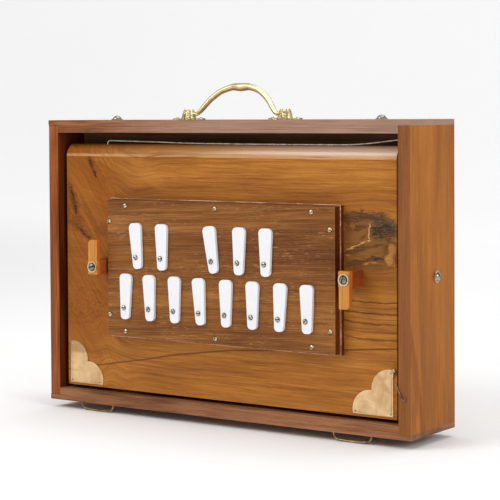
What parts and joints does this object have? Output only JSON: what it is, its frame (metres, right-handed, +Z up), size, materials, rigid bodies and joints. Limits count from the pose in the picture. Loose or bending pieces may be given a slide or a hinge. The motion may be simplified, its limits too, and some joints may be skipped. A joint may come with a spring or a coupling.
{
  "type": "shruti box",
  "caption": "Portable bellows drone instrument: a shallow wooden case with a brass bail handle, sprung front board, key plate with turning finger tabs, turn latches and a hinged pump board.",
  "frame": {"origin": "floor level under the middle of the overall box (case plus latch screws)", "axes": "+X along the width, to the right seen from the finger tabs; +Y from the tab side to the pump side; +Z up"},
  "size_m": [0.4144, 0.1009, 0.3183],
  "materials": {
    "case_wood": "oiled sheesham boards",
    "front_wood": "varnished teak",
    "plate_wood": "varnished dark wood",
    "ply": "bare plywood",
    "latch_wood": "lacquered wood",
    "tab_plastic": "polished acrylic",
    "brass": "polished",
    "nickel": "nickel plate",
    "steel": "drawn wire",
    "bellows": "pleated",
    "leather": "soft valve leather"
  },
  "bodies": {
    "case": {"case_top": "case_wood", "case_bottom": "case_wood", "case_left": "case_wood", "case_right": "case_wood", "centre_board": "ply", "case_screws": "nickel", "case_washers": "brass", "wire_feet": "steel", "handle_post_left": "brass", "handle_post_right": "brass", "handle_screws": "brass", "return_spring": "steel", "front_hinge_case": "brass", "front_hinge_pins": "brass", "centre_battens": "ply", "pump_hinge_case": "brass", "pump_hinge_pins": "brass", "front_bellows": "bellows", "rear_bellows": "bellows"},
    "front": {"front_board": "front_wood", "plate_base": "plate_wood", "key_plate": "plate_wood", "plate_screws": "brass", "tab_screws": "nickel", "latch_block_left": "latch_wood", "latch_block_right": "latch_wood", "latch_screws": "nickel", "latch_washers": "nickel", "corner_plate_left": "brass", "corner_plate_right": "brass", "corner_nails": "brass", "catch_nail": "brass", "reed_plates": "brass", "reed_tongues": "steel", "front_hinge_board": "brass"},
    "pump": {"pump_board": "front_wood", "pump_battens": "ply", "pump_hinge_board": "brass"},
    "tab_01": {"tab_01": "tab_plastic"},
    "tab_02": {"tab_02": "tab_plastic"},
    "tab_03": {"tab_03": "tab_plastic"},
    "tab_04": {"tab_04": "tab_plastic"},
    "tab_05": {"tab_05": "tab_plastic"},
    "tab_06": {"tab_06": "tab_plastic"},
    "tab_07": {"tab_07": "tab_plastic"},
    "tab_08": {"tab_08": "tab_plastic"},
    "tab_09": {"tab_09": "tab_plastic"},
    "tab_10": {"tab_10": "tab_plastic"},
    "tab_11": {"tab_11": "tab_plastic"},
    "tab_12": {"tab_12": "tab_plastic"},
    "tab_13": {"tab_13": "tab_plastic"},
    "latch_left": {"latch_lever_left": "latch_wood"},
    "latch_right": {"latch_lever_right": "latch_wood"},
    "catch": {"catch_hook": "steel"},
    "bail": {"handle_bail": "brass"},
    "centre_flap_left": {"centre_flap_left": "leather"},
    "centre_flap_right": {"centre_flap_right": "leather"},
    "pump_flap_left": {"pump_flap_left": "leather"},
    "pump_flap_right": {"pump_flap_right": "leather"}
  },
  "joints": [
    {"name": "front_board_hinge", "type": "hinge", "parent": "case", "child": "front", "pos_m": [0, -0.00585, 0.0227], "axis": [1, 0, 0], "range_deg": [0, 9], "stiffness_Nm_per_rad": 2, "springref_deg": -17.19, "deforming": ["front_bellows", "return_spring"]},
    {"name": "pump_board_hinge", "type": "hinge", "parent": "case", "child": "pump", "pos_m": [0, 0.02845, 0.0225], "axis": [-1, 0, 0], "range_deg": [0, 15], "deforming": ["rear_bellows"]},
    {"name": "tab_01_pivot", "type": "hinge", "parent": "front", "child": "tab_01", "pos_m": [-0.10293, -0.0367, 0.105], "axis": [0, 1, 0], "range_deg": [-21.5, 1.5]},
    {"name": "tab_02_pivot", "type": "hinge", "parent": "front", "child": "tab_02", "pos_m": [-0.07368, -0.0367, 0.105], "axis": [0, 1, 0], "range_deg": [-18, 5]},
    {"name": "tab_03_pivot", "type": "hinge", "parent": "front", "child": "tab_03", "pos_m": [-0.04442, -0.0367, 0.105], "axis": [0, 1, 0], "range_deg": [-19.1, 3.9]},
    {"name": "tab_04_pivot", "type": "hinge", "parent": "front", "child": "tab_04", "pos_m": [-0.01517, -0.0367, 0.105], "axis": [0, 1, 0], "range_deg": [-16.3, 6.7]},
    {"name": "tab_05_pivot", "type": "hinge", "parent": "front", "child": "tab_05", "pos_m": [0.01408, -0.0367, 0.105], "axis": [0, 1, 0], "range_deg": [-19.6, 3.4]},
    {"name": "tab_06_pivot", "type": "hinge", "parent": "front", "child": "tab_06", "pos_m": [0.04333, -0.0367, 0.105], "axis": [0, 1, 0], "range_deg": [-20, 3]},
    {"name": "tab_07_pivot", "type": "hinge", "parent": "front", "child": "tab_07", "pos_m": [0.07258, -0.0367, 0.105], "axis": [0, 1, 0], "range_deg": [-21.7, 1.3]},
    {"name": "tab_08_pivot", "type": "hinge", "parent": "front", "child": "tab_08", "pos_m": [0.10182, -0.0367, 0.105], "axis": [0, 1, 0], "range_deg": [-19.3, 3.7]},
    {"name": "tab_09_pivot", "type": "hinge", "parent": "front", "child": "tab_09", "pos_m": [-0.0883, -0.0367, 0.1534], "axis": [0, 1, 0], "range_deg": [-15.3, 7.7]},
    {"name": "tab_10_pivot", "type": "hinge", "parent": "front", "child": "tab_10", "pos_m": [-0.05905, -0.0367, 0.1534], "axis": [0, 1, 0], "range_deg": [-19, 4]},
    {"name": "tab_11_pivot", "type": "hinge", "parent": "front", "child": "tab_11", "pos_m": [-0.00055, -0.0367, 0.1534], "axis": [0, 1, 0], "range_deg": [-12.1, 10.9]},
    {"name": "tab_12_pivot", "type": "hinge", "parent": "front", "child": "tab_12", "pos_m": [0.0287, -0.0367, 0.1534], "axis": [0, 1, 0], "range_deg": [-20.6, 2.4]},
    {"name": "tab_13_pivot", "type": "hinge", "parent": "front", "child": "tab_13", "pos_m": [0.05795, -0.0367, 0.1534], "axis": [0, 1, 0], "range_deg": [-19.7, 3.3]},
    {"name": "latch_left_pivot", "type": "hinge", "parent": "front", "child": "latch_left", "pos_m": [-0.1338, -0.0444, 0.143], "axis": [0, 1, 0], "range_deg": [-90, 90]},
    {"name": "latch_right_pivot", "type": "hinge", "parent": "front", "child": "latch_right", "pos_m": [0.1472, -0.0444, 0.145], "axis": [0, 1, 0], "range_deg": [-90, 90]},
    {"name": "catch_pivot", "type": "hinge", "parent": "front", "child": "catch", "pos_m": [0.1835, -0.02435, 0.0662], "axis": [0, 1, 0], "range_deg": [-60, 20]},
    {"name": "bail_hinge", "type": "hinge", "parent": "case", "child": "bail", "pos_m": [-0.0032, 0.00745, 0.2884], "axis": [1, 0, 0], "range_deg": [-66, 102]},
    {"name": "centre_flap_left_hinge", "type": "hinge", "parent": "case", "child": "centre_flap_left", "pos_m": [0, 0.0095, 0.1615], "axis": [-1, 0, 0], "range_deg": [0, 14]},
    {"name": "centre_flap_right_hinge", "type": "hinge", "parent": "case", "child": "centre_flap_right", "pos_m": [0, 0.0095, 0.1615], "axis": [-1, 0, 0], "range_deg": [0, 14]},
    {"name": "pump_flap_left_hinge", "type": "hinge", "parent": "pump", "child": "pump_flap_left", "pos_m": [0, 0.0335, 0.1615], "axis": [-1, 0, 0], "range_deg": [0, 9]},
    {"name": "pump_flap_right_hinge", "type": "hinge", "parent": "pump", "child": "pump_flap_right", "pos_m": [0, 0.0335, 0.1615], "axis": [-1, 0, 0], "range_deg": [0, 9]}
  ]
}
